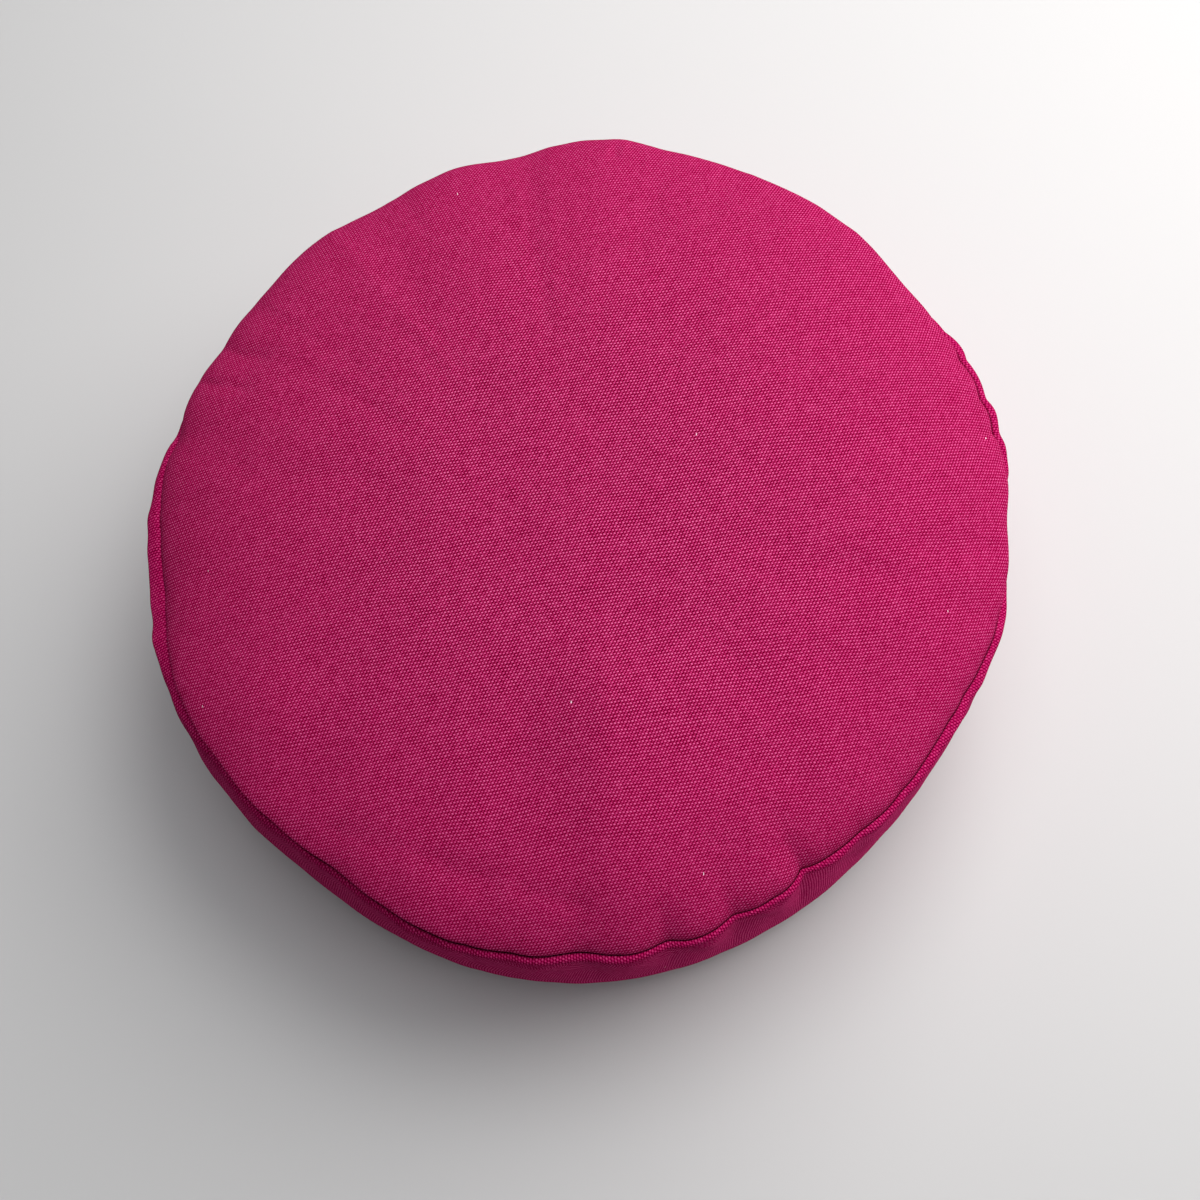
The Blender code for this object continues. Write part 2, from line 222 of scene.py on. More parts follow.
# How the upper edge is folded: rise is how far the panel's shoulder stands above the seam, with no overhang,
# roundness is the top face's there, drop is how far the band's rolled edge lies below its usual place beside
# the panel, lip is the share of its width that is turned over and not yet wall, flank is 1 where it rounds
# off to the wall and more where it slopes down to it, bulge is how far the wall stands out just below it, and
# folds is the share of its full slack that the wall has.
Edge = namedtuple("Edge", "azimuth rise roundness drop lip flank bulge folds")
EDGES = (
    Edge(azimuth=0, rise=2.2, roundness=0.60, drop=0.0, lip=1.0, flank=1.0, bulge=0.0, folds=1.0),
    Edge(azimuth=166, rise=2.2, roundness=0.60, drop=0.0, lip=1.0, flank=1.0, bulge=0.0, folds=0.9),
    Edge(azimuth=176, rise=2.0, roundness=0.64, drop=0.1, lip=1.0, flank=1.3, bulge=0.7, folds=0.7),
    Edge(azimuth=186, rise=2.2, roundness=0.66, drop=0.2, lip=0.92, flank=1.6, bulge=1.5, folds=0.5),
    Edge(azimuth=200, rise=3.8, roundness=0.71, drop=0.6, lip=0.88, flank=1.6, bulge=1.5, folds=0.4),
    Edge(azimuth=214, rise=6.4, roundness=0.76, drop=2.2, lip=0.58, flank=1.0, bulge=2.2, folds=0.25),
    Edge(azimuth=228, rise=6.2, roundness=0.73, drop=2.2, lip=0.56, flank=1.0, bulge=0.8, folds=0.25),
    Edge(azimuth=244, rise=5.8, roundness=0.70, drop=2.2, lip=0.58, flank=1.0, bulge=1.2, folds=0.25),
    Edge(azimuth=258, rise=4.2, roundness=0.64, drop=0.9, lip=0.56, flank=1.0, bulge=1.1, folds=0.4),
    Edge(azimuth=276, rise=2.8, roundness=0.58, drop=0.2, lip=0.56, flank=1.0, bulge=1.0, folds=0.5),
    Edge(azimuth=296, rise=2.2, roundness=0.53, drop=-0.2, lip=0.56, flank=1.0, bulge=0.8, folds=0.45),
    Edge(azimuth=312, rise=1.6, roundness=0.50, drop=-0.5, lip=0.85, flank=1.0, bulge=0.2, folds=0.45),
    Edge(azimuth=342, rise=2.0, roundness=0.52, drop=-0.2, lip=1.05, flank=1.2, bulge=0.4, folds=0.5),
    Edge(azimuth=360, rise=2.2, roundness=0.60, drop=0.0, lip=1.0, flank=1.0, bulge=0.0, folds=1.0),
)

# The larger pinches of the upper seam. half_width is along it in degrees, depth is how far the cloth is
# drawn in, or under 0 how far it stands out, and reach is how far that runs over the panel and the wall.
Pucker = namedtuple("Pucker", "azimuth half_width depth reach")
PUCKERS = (
    Pucker(azimuth=359, half_width=4.0, depth=1.2, reach=24.0),
    Pucker(azimuth=85, half_width=2.6, depth=0.9, reach=12.0),
    Pucker(azimuth=110, half_width=3.0, depth=0.6, reach=14.0),
    Pucker(azimuth=151, half_width=3.4, depth=1.0, reach=22.0),
    Pucker(azimuth=165, half_width=3.4, depth=1.8, reach=26.0),
    Pucker(azimuth=187, half_width=4.0, depth=0.9, reach=24.0),
    Pucker(azimuth=236, half_width=4.0, depth=0.9, reach=20.0),
    Pucker(azimuth=271, half_width=3.0, depth=0.8, reach=18.0),
    Pucker(azimuth=277.5, half_width=2.5, depth=-0.5, reach=20.0),
    Pucker(azimuth=282.5, half_width=2.2, depth=0.9, reach=14.0),
    Pucker(azimuth=287.0, half_width=3.0, depth=-1.2, reach=20.0),
    Pucker(azimuth=291.5, half_width=2.4, depth=0.9, reach=14.0),
    Pucker(azimuth=297.0, half_width=3.0, depth=-1.1, reach=20.0),
    Pucker(azimuth=302.5, half_width=2.8, depth=1.4, reach=16.0),
)

# Short creases of the top panel near its edge. half_width is in degrees, inside is how far in from the edge
# one is deepest and reach how far it runs to both sides of that.
Crease = namedtuple("Crease", "azimuth half_width depth inside reach")
CREASES = (
    Crease(azimuth=83.2, half_width=0.8, depth=0.9, inside=9.0, reach=5.0),
    Crease(azimuth=81.0, half_width=0.9, depth=0.5, inside=5.0, reach=4.0),
    Crease(azimuth=150.5, half_width=1.0, depth=0.7, inside=5.0, reach=8.0),
    Crease(azimuth=156.5, half_width=0.9, depth=0.7, inside=5.0, reach=8.0),
    Crease(azimuth=355.0, half_width=1.3, depth=0.5, inside=8.0, reach=10.0),
)

# Soft unevenness of the filling, as in the CAD model: centre, half-lengths along X and Y, and height.
Swell = namedtuple("Swell", "x y half_x half_y height")
SWELLS = (
    Swell(x=34, y=-112, half_x=30, half_y=52, height=1.6),
    Swell(x=-14, y=-108, half_x=22, half_y=48, height=-1.4),
    Swell(x=-82, y=-42, half_x=34, half_y=30, height=-1.0),
    Swell(x=-122, y=-74, half_x=24, half_y=24, height=0.9),
    Swell(x=96, y=52, half_x=44, half_y=40, height=0.9),
    Swell(x=-40, y=96, half_x=50, half_y=30, height=0.8),
    Swell(x=88, y=-20, half_x=40, half_y=20, height=-0.7),
)

# The small gathers of the upper seam between its pinches. half_width is in degrees, depth is how far the
# cloth is drawn in, and length is how far its furrow runs down the wall, leaning by lean degrees over that.
Gather = namedtuple("Gather", "azimuth half_width depth length lean")
GATHERS = (
    Gather(5.8, 1.3, 1.8, 31, 1.0),
    Gather(12.1, 1.2, 2.4, 42, -1.5),
    Gather(17.3, 1.1, 2.0, 25, 0.5),
    Gather(23.4, 1.1, 2.4, 48, 1.5),
    Gather(28.4, 1.3, 1.6, 28, -1.0),
    Gather(37.0, 1.6, 1.2, 36, 0.5),
    Gather(46.5, 1.4, 1.6, 25, 1.0),
    Gather(53.0, 1.7, 0.9, 42, -1.5),
    Gather(63.5, 1.4, 1.7, 34, 0.0),
    Gather(78.0, 1.3, 1.5, 39, -1.0),
    Gather(93.0, 1.6, 1.2, 31, 1.5),
    Gather(98.5, 1.3, 0.9, 42, 0.5),
    Gather(117.5, 1.5, 1.2, 25, -1.0),
    Gather(127.0, 1.4, 1.7, 36, 1.0),
    Gather(141.5, 1.3, 1.4, 42, -1.5),
    Gather(158.0, 1.4, 1.1, 34, 1.0),
    Gather(175.5, 1.5, 0.6, 25, 0.5),
    Gather(192.5, 1.8, 0.7, 42, 1.0),
    Gather(203.0, 1.5, 0.3, 28, 0.0),
    Gather(214.5, 1.8, 0.4, 34, -0.5),
    Gather(229.0, 1.6, 0.3, 39, -1.0),
    Gather(244.5, 1.6, 0.4, 31, 0.5),
    Gather(256.5, 1.4, 1.1, 36, 1.0),
    Gather(262.5, 1.3, 0.8, 25, -1.0),
    Gather(276.0, 1.2, 0.8, 34, 0.5),
    Gather(282.5, 1.3, 1.6, 42, -1.0),
    Gather(291.5, 1.3, 1.6, 40, -1.0),
    Gather(297.0, 1.2, 0.7, 25, 0.0),
    Gather(302.2, 0.9, 3.0, 50, -1.0),
    Gather(311.5, 1.4, 0.8, 31, -1.0),
    Gather(319.0, 1.3, 0.6, 36, 1.0),
    Gather(334.5, 1.5, 0.8, 34, -1.0),
    Gather(345.5, 1.4, 0.2, 28, 0.5),
    Gather(352.0, 1.4, 1.4, 39, 1.0),
)
FURROW_OPENS = 8.0  # how far down the wall a furrow has opened from its seam
FURROW_OPENING = 1.2  # how much wider it is there, as a share of half_width
FURROW_SPREAD = 0.8  # and how much more at its length
FURROW_ROUNDING = 0.3  # of its bottom, as a share of its half width
DIMPLE_REACH = 11.0  # how far a gather's dent runs over the top panel
DIMPLE_SPREAD = 2.4  # how much wider the dent is than the gather
GATHER_SEAM = 0.55  # share of a gather's depth by which the seam itself is drawn in

# Hollows of the wall below the upper seam: peak is how far down the wall each one is deepest, and lean how
# many degrees it has moved by there.
Hollow = namedtuple("Hollow", "azimuth half_width depth peak lean")
HOLLOWS = (
    Hollow(12.5, 2.2, 1.5, 9, -1.0),
    Hollow(24.0, 2.4, 1.8, 11, 1.0),
    Hollow(47.0, 2.8, 1.6, 12, 0.5),
    Hollow(64.0, 2.4, 1.9, 10, -0.5),
    Hollow(79.0, 2.6, 1.4, 13, 1.0),
    Hollow(99.0, 3.0, 1.2, 11, -1.0),
    Hollow(127.0, 2.6, 1.8, 12, 0.8),
    Hollow(142.0, 2.4, 1.5, 9, -0.8),
    Hollow(165.0, 3.2, 2.0, 13, 1.0),
    Hollow(192.0, 2.8, 1.0, 14, -1.0),
    Hollow(257.0, 2.4, 0.9, 10, 0.6),
    Hollow(283.2, 1.7, 2.6, 8, 0.6),
    Hollow(292.3, 1.8, 2.8, 8, 0.6),
    Hollow(303.4, 2.0, 4.4, 9, 0.8),
    Hollow(334.0, 2.6, 1.2, 11, -0.6),
    Hollow(352.5, 2.4, 1.6, 10, 0.8),
)

HOLLOW_TOP = 0.8  # its width at the seam, as a share of half_width
HOLLOW_SPREAD = 0.3  # how much wider it is where it is deepest

# Soft folds of the top panel, each along a line from (x1, y1) to (x2, y2): crest is how round its edge is,
# reach how far it fades to the sides, and height is over 0 for a ridge and under 0 for a furrow.
Fold = namedtuple("Fold", "x1 y1 x2 y2 crest reach height")
FOLDS = (
    Fold(x1=15, y1=-40, x2=12, y2=-172, crest=5, reach=30, height=3.2),
    Fold(x1=-100, y1=-42, x2=-103, y2=-124, crest=6, reach=20, height=-0.9),
    Fold(x1=-98, y1=-117, x2=-58, y2=-131, crest=2, reach=3, height=-0.9),
    Fold(x1=-64, y1=-128, x2=-20, y2=-143, crest=2, reach=3, height=-1.0),
    Fold(x1=-24, y1=-142, x2=12, y2=-152, crest=2, reach=3, height=-1.0),
    Fold(x1=-50, y1=-136, x2=-28, y2=-146, crest=2, reach=3, height=-0.8),
    Fold(x1=-172, y1=82, x2=-118, y2=72, crest=1.5, reach=3, height=-1.8),
    Fold(x1=-174, y1=70, x2=-124, y2=57, crest=1.5, reach=3, height=-1.8),
    Fold(x1=-168, y1=37, x2=-122, y2=22, crest=2, reach=5, height=-0.9),
    Fold(x1=-134, y1=24, x2=-46, y2=6, crest=3, reach=7, height=-0.3),
    Fold(x1=142, y1=48, x2=175, y2=28, crest=2, reach=4, height=-0.6),
    Fold(x1=130, y1=-16, x2=176, y2=-19, crest=3, reach=5, height=-1.2),
    Fold(x1=140, y1=-23, x2=174, y2=-39, crest=3, reach=5, height=1.2),
    Fold(x1=-40, y1=-14, x2=100, y2=-15, crest=2, reach=5, height=-0.2),
    Fold(x1=-47, y1=168, x2=-43, y2=134, crest=5, reach=8, height=-0.6),
    Fold(x1=85, y1=-144, x2=80, y2=-124, crest=4, reach=6, height=-0.9),
)

FOLD_TAPER = 0.25  # share of its line over which a fold comes and goes

# Small unevenness: smooth waves of mixed direction, between these lengths, each from a seed of its own
UNEVEN_WAVES = 24
FILLING_LENGTHS = (20.0, 70.0)
SEAM_LENGTHS = (11.0, 34.0)
WALL_FOLD_LENGTHS = (13.0, 36.0)
WALL_FOLD_STRETCH = 4.0  # how much longer the wall's folds are down the wall than round it
PANEL_UNEVENNESS = 0.25
WALL_UNEVENNESS = 0.35
WALL_FOLDS = 0.35
WALL_FOLD_FADE = 0.6  # power of the half wave by which both fade towards the seams
PANEL_SEED, WALL_SEED, WALL_FOLD_SEED, SEAM_SEED, LIP_SEED = 3, 5, 6, 7, 8

# The cloth simulation: the panel from SIM_INNER of its radius out and the wall, between pinned seams
SIM_COLUMNS = 270
SIM_PANEL_ROWS = 20
SIM_WALL_ROWS = 22  # with the two rolled edges that it hangs between
SIM_INNER = 0.4
SIM_FRAMES = 20
SIM_CLOTH = (
    ("quality", 4),
    ("mass", 0.3),
    ("tension_stiffness", 15),
    ("compression_stiffness", 15),
    ("shear_stiffness", 5),
    ("bending_stiffness", 0.5),
    ("use_pressure", True),
    ("uniform_pressure_force", 4.0),
    ("shrink_min", -0.03),  # the cloth is that much longer than the form it is sewn to
)
SIM_LEAST_WAVES = 8  # longer waves than this many round the cushion are left out
SIM_MOST_WAVES = 75  # and shorter ones than this many fade out
SIM_WAVE_FADE = 4  # power of that fading
SIM_PANEL_SHARE = 0.22  # share of the simulated lift that the taut panel keeps
SIM_WALL_SHARE = 1.3
SIM_PANEL_CAP = 0.3
SIM_WALL_CAP = 2.2


def turn(degrees):
    """The shorter way round, from -180 to 180."""
    return (degrees + 180) % 360 - 180


def ring(azimuths, radius):
    """(x, y) at these azimuths."""
    return radius * np.cos(np.radians(azimuths)), radius * np.sin(np.radians(azimuths))


def station_values(azimuths, column):
    """A column of STATIONS at these azimuths, on the smooth closed curve that the CAD model takes."""
    knots = np.array([row.azimuth for row in STATIONS], float)
    values = np.array([getattr(row, column) for row in STATIONS], float)
    slopes = (np.roll(values, -1) - np.roll(values, 1)) / turn(np.roll(knots, -1) - np.roll(knots, 1))
    here = np.searchsorted(knots, azimuths, side="right") - 1
    after = (here + 1) % len(knots)
    span = turn(knots[after] - knots[here])
    t = turn(azimuths - knots[here]) / span
    return (
        values[here] * (2 * t**3 - 3 * t**2 + 1)
        + slopes[here] * span * (t**3 - 2 * t**2 + t)
        + values[after] * (3 * t**2 - 2 * t**3)
        + slopes[after] * span * (t**3 - t**2)
    )


def edge_values(azimuths, column):
    """A column of EDGES at these azimuths."""
    return np.interp(azimuths, [row.azimuth for row in EDGES], [getattr(row, column) for row in EDGES])


def pucker_at(azimuths, distance):
    """How far the cloth is drawn in at this distance from the upper seam."""
    return sum(
        p.depth * np.exp(-((turn(azimuths - p.azimuth) / p.half_width) ** 2) - (distance / p.reach) ** 2)
        for p in PUCKERS
    )


def gather_at(azimuths, distance):
    """How far the gathers draw the wall in at this distance down from the upper seam."""
    total = np.zeros_like(azimuths)
    for g in GATHERS:
        along = distance / g.length
        middle = g.azimuth + g.lean * along
        opened = FURROW_OPENING * np.minimum(distance / FURROW_OPENS, 1)
        width = g.half_width * (1 + opened + FURROW_SPREAD * along)
        across = np.hypot(turn(azimuths - middle) / width, FURROW_ROUNDING)
        total += g.depth * np.exp(FURROW_ROUNDING - across - along**2)
    return total


def hollow_at(azimuths, distance):
    """How deep the hollows of the wall are at this distance down from the upper seam."""
    total = np.zeros_like(azimuths)
    for h in HOLLOWS:
        down = distance / h.peak
        width = h.half_width * (HOLLOW_TOP + HOLLOW_SPREAD * down)
        across = turn(azimuths - h.azimuth - h.lean * down) / width
        total += h.depth * down * np.exp(1 - down) * np.exp(-(across**2))
    return total


def dimple_at(azimuths):
    """How far the gathers press the top panel down beside the seam."""
    return sum(
        g.depth * np.exp(-((turn(azimuths - g.azimuth) / (DIMPLE_SPREAD * g.half_width)) ** 2))
        for g in GATHERS
    )


def crease_at(azimuths, distance):
    """How deep the creases of the top panel are at this distance in from its edge."""
    total = 0
    for c in CREASES:
        across = turn(azimuths - c.azimuth) / c.half_width
        total = total + c.depth * np.exp(-(across**2) - ((distance - c.inside) / c.reach) ** 2)
    return total


def fold_at(x, y):
    """How far the folds lift the top panel. A fold comes and goes over a share of its line at each end."""
    total = np.zeros_like(x)
    for f in FOLDS:
        run = np.array([f.x2 - f.x1, f.y2 - f.y1], float)
        length = np.hypot(*run)
        along = ((x - f.x1) * run[0] + (y - f.y1) * run[1]) / length**2
        across = ((x - f.x1) * run[1] - (y - f.y1) * run[0]) / length
        taper = np.clip(along / FOLD_TAPER, 0, 1) * np.clip((1 - along) / FOLD_TAPER, 0, 1)
        taper = taper**2 * (3 - 2 * taper)
        total += f.height * taper * np.exp((f.crest - np.hypot(across, f.crest)) / f.reach)
    return total


def swell_at(x, y):
    """How far the filling stands above the plain crown."""
    return sum(
        s.height * np.exp(-(((x - s.x) / s.half_x) ** 2) - ((y - s.y) / s.half_y) ** 2) for s in SWELLS
    )


def unevenness(lengths, seed, *place):
    """Smooth waves about zero, with a spread of about one, at a place of two or three coordinates."""
    rng = np.random.default_rng(seed)
    total = 0
    for _ in range(UNEVEN_WAVES):
        heading = rng.normal(size=len(place))
        heading = heading / np.linalg.norm(heading) / rng.uniform(*lengths)
        phase = rng.uniform() + sum(step * coordinate for step, coordinate in zip(heading, place))
        total = total + np.cos(2 * math.pi * phase)
    return total / math.sqrt(UNEVEN_WAVES / 2)


def tucked_share(overhang):
    """How far the bulging panel has turned the band's edge under it, from 0 to 1."""
    return np.clip((overhang - LEAST_OVERHANG) / FULL_TUCK_OVERHANG, 0, 1)


def seam_at(azimuths, face):
    """(seam radius, overhang) of one face."""
    if face is BOTTOM:
        return np.full_like(azimuths, LOWER_SEAM_RADIUS), np.full_like(azimuths, LEAST_OVERHANG)
    overhang = np.maximum(station_values(azimuths, "overhang"), LEAST_OVERHANG)
    waver = SEAM_WAVER * unevenness(SEAM_LENGTHS, SEAM_SEED, *ring(azimuths, LOWER_SEAM_RADIUS))
    drawn = waver + GATHER_SEAM * gather_at(azimuths, 0)
    seam = station_values(azimuths, "seam") - pucker_at(azimuths, 0) - drawn
    return seam, overhang + drawn * tucked_share(overhang)


def crown_row(azimuths, face, inset, share):
    """(radius, height over the seam) of a panel at this share of the way from its middle to its edge."""
    seam, overhang = seam_at(azimuths, face)
    edge = seam + overhang - inset
    plain_edge, rise, roundness = edge, SHOULDER_RISE, face.roundness
    if face is TOP:
        plain_edge = station_values(azimuths, "seam") + station_values(azimuths, "overhang") - inset
        rise = edge_values(azimuths, "rise")
        roundness = edge_values(azimuths, "roundness")
    shoulder = rise + SHOULDER_RISE_PER_OVERHANG * (overhang - LEAST_OVERHANG)
    top = SHOULDER_RISE + face.rise - inset
    radius = share * plain_edge + share**RIM_GRIP * (edge - plain_edge)
    past_flat = max(0.0, share - face.flat) / (1 - face.flat)
    out = shoulder + (top - shoulder) * (1 - min(1.0, past_flat) ** face.power) ** roundness
    if face is TOP:
        x, y = ring(azimuths, radius)
        uneven = PANEL_UNEVENNESS * unevenness(FILLING_LENGTHS, PANEL_SEED, x, y)
        lift = swell_at(x, y) + fold_at(x, y) + uneven
        dent = dimple_at(azimuths) * math.exp(-(((1 - share) * LOWER_SEAM_RADIUS / DIMPLE_REACH) ** 2))
        inside = edge - radius
        out = out + lift * (1 - share**RIM_STIFFNESS)
        out = out - PUCKER_DROP * (pucker_at(azimuths, inside) + dent) - crease_at(azimuths, inside)
    return radius, out


def between(grid, place):
    """The row of a grid at this place, from 0 at its first row to 1 at its last."""
    spot = min(max(place, 0.0), 1.0) * (len(grid) - 1)
    row = min(int(spot), len(grid) - 2)
    return grid[row] + (grid[row + 1] - grid[row]) * (spot - row)


def face_rows(azimuths, face, inset, rows, settled=None):
    """A panel's profile drawn smaller by inset, as (radius, height) with a row for each step: from the middle
    out over the shoulder, back under it to the crease, and down to the edge inside the seam."""
    seam, overhang = seam_at(azimuths, face)
    edge = seam + overhang - inset
    crease = inset - CREASE_DEPTH
    found = []
    for share in np.sin(np.linspace(0, math.pi / 2, rows)):
        radius, out = crown_row(azimuths, face, inset, share)
        if settled is not None:
            out = out + between(settled.panel, (share - SIM_INNER) / (1 - SIM_INNER))
        found.append((radius, out))
    shoulder = found[-1][1]
    for turned in np.linspace(0, math.pi / 2, UNDERSIDE_ROWS + 1)[1:]:
        out = shoulder - (shoulder - crease) * math.sin(turned)
        found.append((edge - overhang * (1 - math.cos(turned)), out))
    found.append((found[-1][0], np.full_like(azimuths, -CREASE_DEPTH - TUCKED_EDGE)))
    return [(radius, face.seam_height + face.sign * out) for radius, out in found]


def rolled_edge(azimuths, face, width):
    """The band's edge over its seam allowance, from inside the crease out to the wall."""
    seam, overhang = seam_at(azimuths, face)
    tuck_share = tucked_share(overhang)
    tuck = np.radians(FULL_TUCK_ANGLE * np.sqrt(tuck_share))
    radius = width / 2
    tall = LIP_HEIGHT + (radius - LIP_HEIGHT) * tuck_share
    inside = LIP_INSIDE + (radius - LIP_INSIDE) * tuck_share
    centre_radius = seam + CREASE_WIDTH + inside * np.cos(tuck)
    centre_height = -CREASE_DEPTH - (CREASE_WIDTH + radius) * np.sin(tuck)
    flank = 1.0
    if face is TOP:
        centre_height = centre_height - edge_values(azimuths, "drop")
        flank = edge_values(azimuths, "flank")
    found = [(seam + GAP, np.full_like(azimuths, -CREASE_DEPTH - TUCKED_EDGE - GAP))]
    for share in np.linspace(0, 1, ROLL_ROWS):
        angle = (math.pi - tuck) * (1 - share)
        inner = np.clip(-LIP_BLEND * np.cos(angle), 0, 1) * (1 - tuck_share)
        outer = np.clip(LIP_BLEND * np.cos(angle), 0, 1)
        power = 1 - (1 - LIP_SQUARENESS) * inner + (flank - 1) * outer
        reach = np.where(np.cos(angle) < 0, -inside, width - inside)
        across = reach * np.abs(np.cos(angle)) ** power
        up = tall * np.abs(np.sin(angle)) ** power
        found.append((centre_radius + across, centre_height + up))
    return [(out, face.seam_height + face.sign * height) for out, height in found]


def wall_rows(azimuths, upper, lower, rows=WALL_ROWS, settled=None):
    """The band between its two rolled edges."""
    belly = station_values(azimuths, "belly")
    bulge = edge_values(azimuths, "bulge")
    folds = edge_values(azimuths, "folds")
    x, y = ring(azimuths, LOWER_SEAM_RADIUS)
    found = []
    for share in np.linspace(0, 1, rows + 2)[1:-1]:
        height = upper[1] + (lower[1] - upper[1]) * share
        radius = upper[0] + (lower[0] - upper[0]) * (3 - 2 * share) * share**2
        radius = radius + belly * math.sin(math.pi * share**SAG)
        radius = radius + bulge * (1 - math.exp(-share / WALL_SHOULDER)) * (1 - share**2)
        radius = radius - WAIST_DEPTH * math.exp(-((min(share, 1 - share) / WAIST_SHARE) ** 2))
        drop = upper[1] - height
        radius = radius - pucker_at(azimuths, drop) - (1 - GATHER_SEAM) * gather_at(azimuths, drop)
        radius = radius - hollow_at(azimuths, drop)
        stretched = height / WALL_FOLD_STRETCH
        wave = WALL_UNEVENNESS * unevenness(FILLING_LENGTHS, WALL_SEED, x, y, height)
        wave = wave + WALL_FOLDS * unevenness(WALL_FOLD_LENGTHS, WALL_FOLD_SEED, x, y, stretched)
        radius = radius + wave * folds * math.sin(math.pi * share) ** WALL_FOLD_FADE
        if settled is not None:
            radius = radius + between(settled.wall, share) * folds
        found.append((radius, height))
    return found


def split(rows):
    """Rows of (radius, height) as an array of radii and an array of heights."""
    return np.moveaxis(np.array(rows), 1, 0)


def strips(index):
    """The quads of a closed strip between each two neighbouring rows of point numbers."""
    after = np.roll(index, -1, axis=1)
    return np.stack([index[:-1], index[1:], after[1:], after[:-1]], axis=-1).reshape(-1, 4)


def shell(azimuths):
    """(rows, panel rows, wall rows) of the coarse form that is simulated, where the last two say which of its
    rows move: from inside the top panel out over the band's edge, and down the wall to the base."""
    upper = rolled_edge(azimuths, TOP, station_values(azimuths, "roll") * edge_values(azimuths, "lip"))
    lower = rolled_edge(azimuths, BOTTOM, np.full_like(azimuths, LOWER_ROLL))
    crown = [crown_row(azimuths, TOP, 0.0, share) for share in np.linspace(SIM_INNER, 1, SIM_PANEL_ROWS)]
    crown = [(radius, UPPER_SEAM_HEIGHT + out) for radius, out in crown]
    wall = wall_rows(azimuths, upper[-1], lower[-1], SIM_WALL_ROWS - 2)
    under = face_rows(azimuths, BOTTOM, 0.0, 3)[1:2]
    rows = crown + [upper[1], upper[-1]] + wall + [lower[-1], lower[1]] + under
    return rows, range(1, len(crown)), range(len(crown) + 2, len(crown) + 2 + len(wall))


def blown_out(points, pinned):
    """Where the points of a closed shell of cloth come to rest under the pressure of its filling, with the
    pinned rows held. points has a row of points for each row of the shell."""
    index = np.arange(points[..., 0].size).reshape(points.shape[:2])
    ends = [index[0].tolist(), index[-1][::-1].tolist()]
    mesh = bpy.data.meshes.new("settling")
    mesh.from_pydata(points.reshape(-1, 3).tolist(), [], strips(index).tolist() + ends)
    cloth = bpy.data.objects.new("settling", mesh)
    scene = bpy.context.scene
    scene.collection.objects.link(cloth)
    seams = cloth.vertex_groups.new(name="seams")
    seams.add(index[pinned].ravel().tolist(), 1.0, "REPLACE")
    settings = cloth.modifiers.new("cloth", "CLOTH").settings
    settings.vertex_group_mass = "seams"
    for name, value in SIM_CLOTH:
        setattr(settings, name, value)
    settings.effector_weights.gravity = 0
    first = scene.frame_current
    for frame_number in range(1, SIM_FRAMES + 1):
        scene.frame_set(frame_number)
    found = np.empty(points.size)
    cloth.evaluated_get(bpy.context.evaluated_depsgraph_get()).data.vertices.foreach_get("co", found)
    bpy.data.objects.remove(cloth)
    bpy.data.meshes.remove(mesh)
    scene.frame_set(first)
    return found.reshape(points.shape)


def ripples(values, share, cap):
    """The finer waves of simulated rows, on COLUMNS columns, scaled by share and eased off under cap."""
    waves = np.fft.rfft(values, axis=1)
    waves = waves * np.exp(-((np.arange(waves.shape[1]) / SIM_MOST_WAVES) ** SIM_WAVE_FADE))
    waves[:, :SIM_LEAST_WAVES] = 0
    waved = np.fft.irfft(waves, COLUMNS, axis=1) * COLUMNS / SIM_COLUMNS
    return cap * np.tanh(share * waved / cap)


# How far simulated cloth is lifted on the panel and pushed out on the wall, with a row for each simulated
# row from the panel's inner one to its edge, and from the upper rolled edge to the lower.
Settled = namedtuple("Settled", "panel wall")


def settle():
    """Cloth a little longer than its form, blown out by the filling between its pinned seams."""
    azimuths = np.arange(SIM_COLUMNS) * 360 / SIM_COLUMNS
    rows, panel_free, wall_free = shell(azimuths)
    pinned = np.ones(len(rows), bool)
    pinned[[*panel_free, *wall_free]] = False
    radius, height = split(rows)
    start = np.stack([*ring(azimuths, radius), height], axis=-1) * MM
    moved = (blown_out(start, pinned) - start) / MM
    outward = moved[..., 0] * np.cos(np.radians(azimuths)) + moved[..., 1] * np.sin(np.radians(azimuths))
    lift = moved[: panel_free.stop, :, 2]
    return Settled(
        ripples(lift, SIM_PANEL_SHARE, SIM_PANEL_CAP),
        ripples(outward[wall_free.start - 1 : wall_free.stop + 1], SIM_WALL_SHARE, SIM_WALL_CAP),
    )


